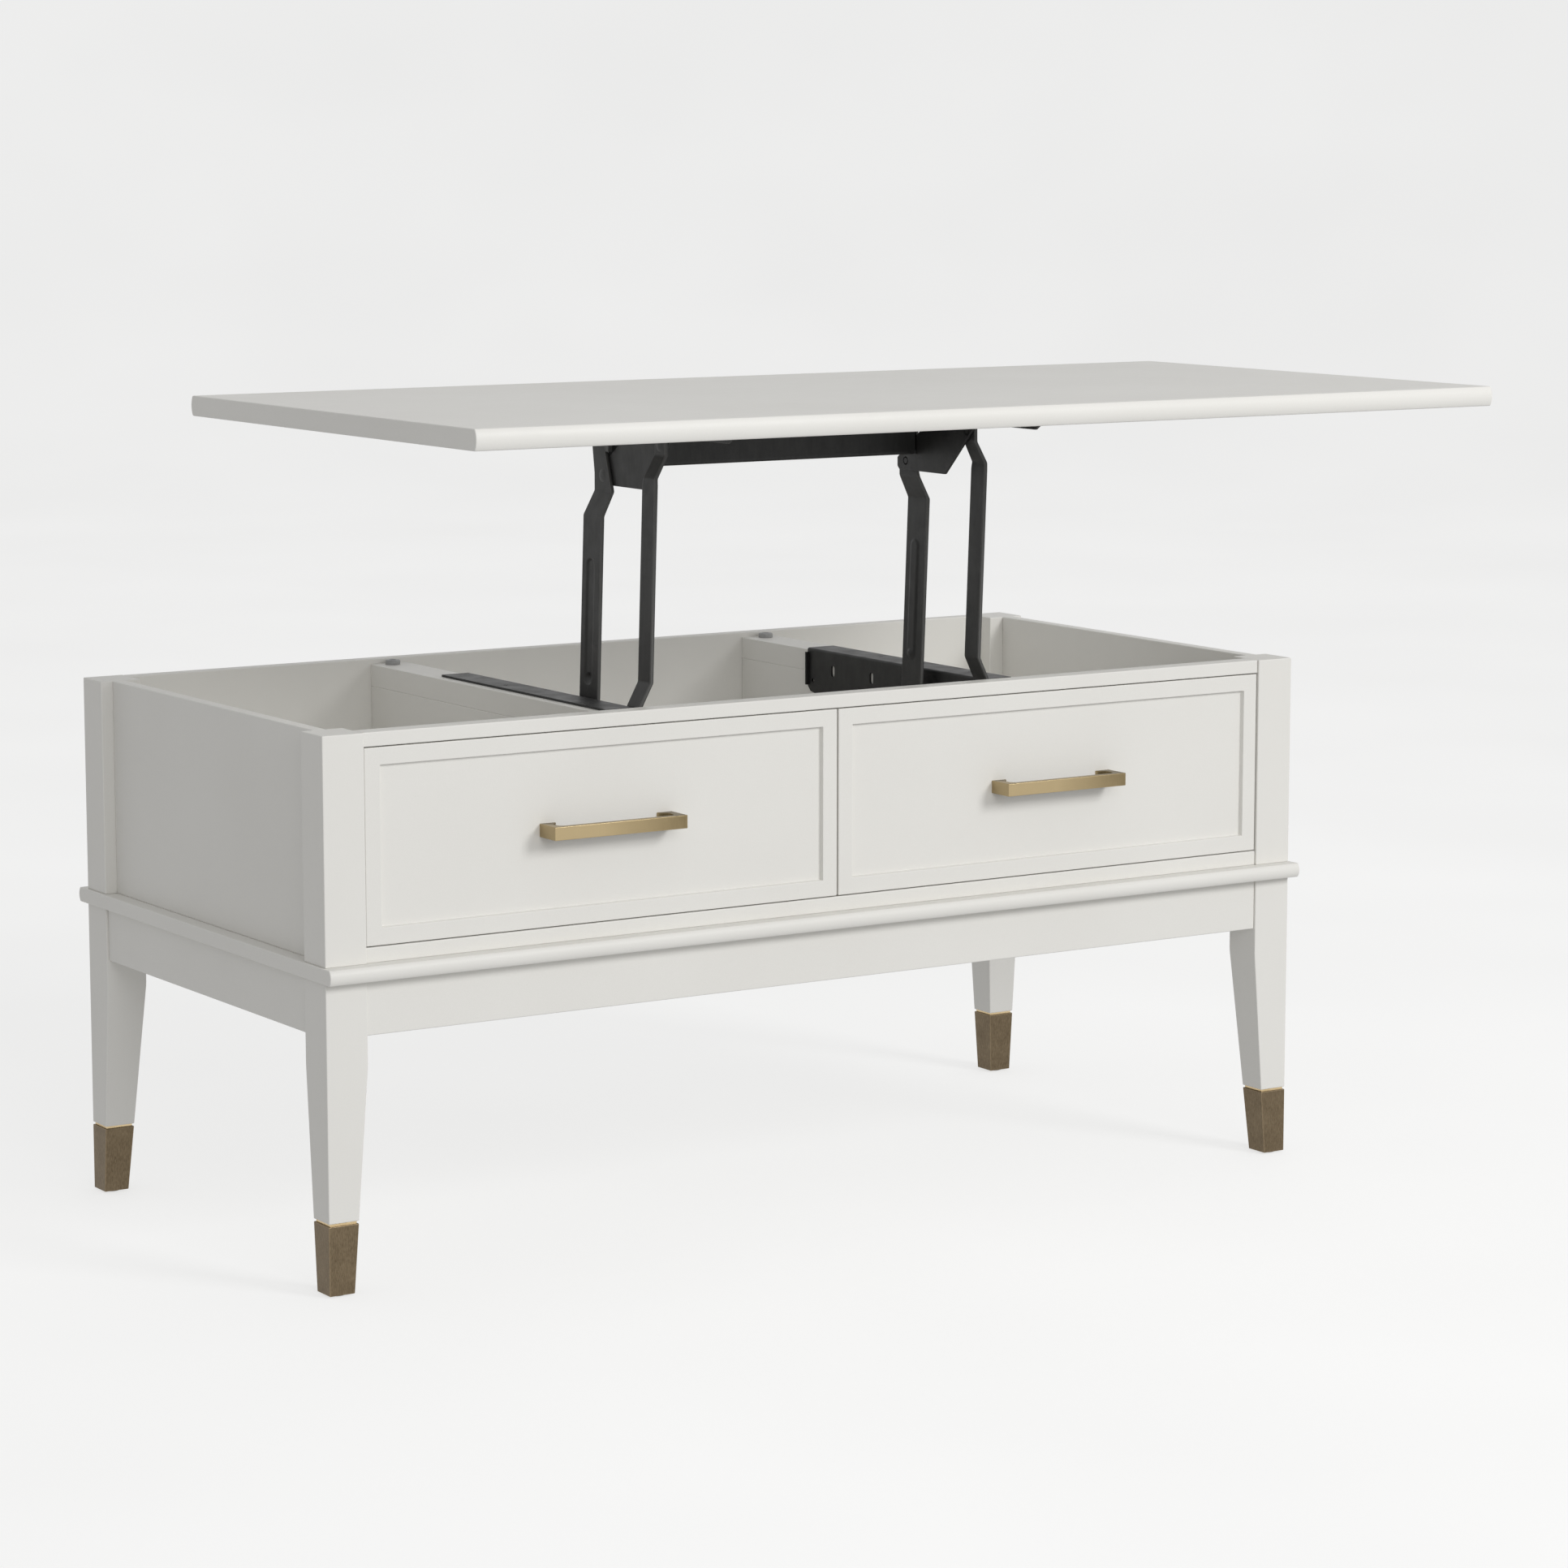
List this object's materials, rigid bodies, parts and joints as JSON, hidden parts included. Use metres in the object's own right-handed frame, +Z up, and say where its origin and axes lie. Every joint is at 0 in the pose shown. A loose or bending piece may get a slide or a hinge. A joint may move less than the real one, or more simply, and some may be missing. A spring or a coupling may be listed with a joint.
{
  "type": "lift top coffee table",
  "caption": "White lift top coffee table with two drawers, brass pulls and ferrules, its top raised on black folding arms.",
  "frame": {"origin": "on the floor, under the centre of the open table", "axes": "+Z up, +X along the length, front faces -Y"},
  "size_m": [1.005, 0.745, 0.7292],
  "materials": {
    "white_paint": "satin off-white paint on board",
    "drawer_lining": "plain white lacquered board",
    "brass": "brushed champagne brass",
    "aged_brass": "dark antique brass",
    "black_steel": "fine satin black powder coat",
    "black_fastener": "black oxide",
    "spring_steel": "oiled spring wire",
    "zinc_steel": "zinc plate",
    "grey_bumper": "soft grey",
    "glide_plastic": "matt"
  },
  "bodies": {
    "root": {"apron_front": "white_paint", "apron_left": "white_paint", "apron_rear": "white_paint", "apron_right": "white_paint", "back_panel": "white_paint", "base_board": "white_paint", "base_rail_left": "black_steel", "base_rail_right": "black_steel", "base_rail_screws": "black_fastener", "bin_front_panel": "white_paint", "bottom_rail": "white_paint", "cabinet_runners": "zinc_steel", "deck_cleats": "white_paint", "divider_caps": "white_paint", "divider_left": "white_paint", "divider_right": "white_paint", "drawer_partition": "white_paint", "foot_glides": "glide_plastic", "leg_ferrules": "aged_brass", "leg_front_left": "white_paint", "leg_front_right": "white_paint", "leg_rear_left": "white_paint", "leg_rear_right": "white_paint", "lid_bumpers": "grey_bumper", "lift_spring_left": "spring_steel", "lift_spring_right": "spring_steel", "lower_pivots": "black_fastener", "post_front_left": "white_paint", "post_front_right": "white_paint", "post_rear_left": "white_paint", "post_rear_right": "white_paint", "side_panel_left": "white_paint", "side_panel_right": "white_paint", "storage_deck": "white_paint", "top_rail": "white_paint"},
    "rear_arm_left": {"rear_arm_left": "black_steel"},
    "rear_arm_right": {"rear_arm_right": "black_steel"},
    "front_arm_left": {"front_arm_left": "black_steel"},
    "front_arm_right": {"front_arm_right": "black_steel"},
    "top": {"tabletop": "white_paint", "top_bracket_left": "black_steel", "top_bracket_right": "black_steel", "cross_bar": "black_steel", "bracket_screws": "black_fastener", "upper_pivots": "black_fastener"},
    "drawer_left": {"drawer_front_left": "white_paint", "drawer_sides_left": "drawer_lining", "drawer_back_left": "drawer_lining", "drawer_bottom_left": "drawer_lining", "drawer_runners_left": "zinc_steel", "drawer_pull_left": "brass", "pull_screws_left": "zinc_steel"},
    "drawer_right": {"drawer_front_right": "white_paint", "drawer_sides_right": "drawer_lining", "drawer_back_right": "drawer_lining", "drawer_bottom_right": "drawer_lining", "drawer_runners_right": "zinc_steel", "drawer_pull_right": "brass", "pull_screws_right": "zinc_steel"}
  },
  "joints": [
    {"name": "lift_fold", "type": "hinge", "parent": "root", "child": "rear_arm_left", "pos_m": [-0.17, 0.03463, 0.41568], "axis": [-1, 0, 0], "range_deg": [0, 94.92], "deforming": ["lift_spring_left", "lift_spring_right"]},
    {"name": "rear_arm_right_pivot", "type": "hinge", "parent": "root", "child": "rear_arm_right", "pos_m": [0.17, 0.03463, 0.41568], "axis": [-1, 0, 0], "range_deg": [0, 95.42]},
    {"name": "front_arm_left_pivot", "type": "hinge", "parent": "root", "child": "front_arm_left", "pos_m": [-0.17, -0.06087, 0.44768], "axis": [-1, 0, 0], "range_deg": [0, 95.42]},
    {"name": "front_arm_right_pivot", "type": "hinge", "parent": "root", "child": "front_arm_right", "pos_m": [0.17, -0.06087, 0.44768], "axis": [-1, 0, 0], "range_deg": [0, 95.42]},
    {"name": "top_level", "type": "hinge", "parent": "rear_arm_left", "child": "top", "pos_m": [-0.1595, 0.0213, 0.6541], "axis": [-1, 0, 0], "range_deg": [-95.42, 0]},
    {"name": "drawer_slide_left", "type": "slide", "parent": "root", "child": "drawer_left", "axis": [0, -1, 0], "range_m": [0, 0.28]},
    {"name": "drawer_slide_right", "type": "slide", "parent": "root", "child": "drawer_right", "axis": [0, -1, 0], "range_m": [0, 0.28]}
  ],
  "couplings": [
    {"joint": "rear_arm_right_pivot", "follows": "lift_fold", "ratio": 1},
    {"joint": "front_arm_left_pivot", "follows": "lift_fold", "ratio": 1},
    {"joint": "front_arm_right_pivot", "follows": "lift_fold", "ratio": 1},
    {"joint": "top_level", "follows": "lift_fold", "ratio": -1}
  ]
}
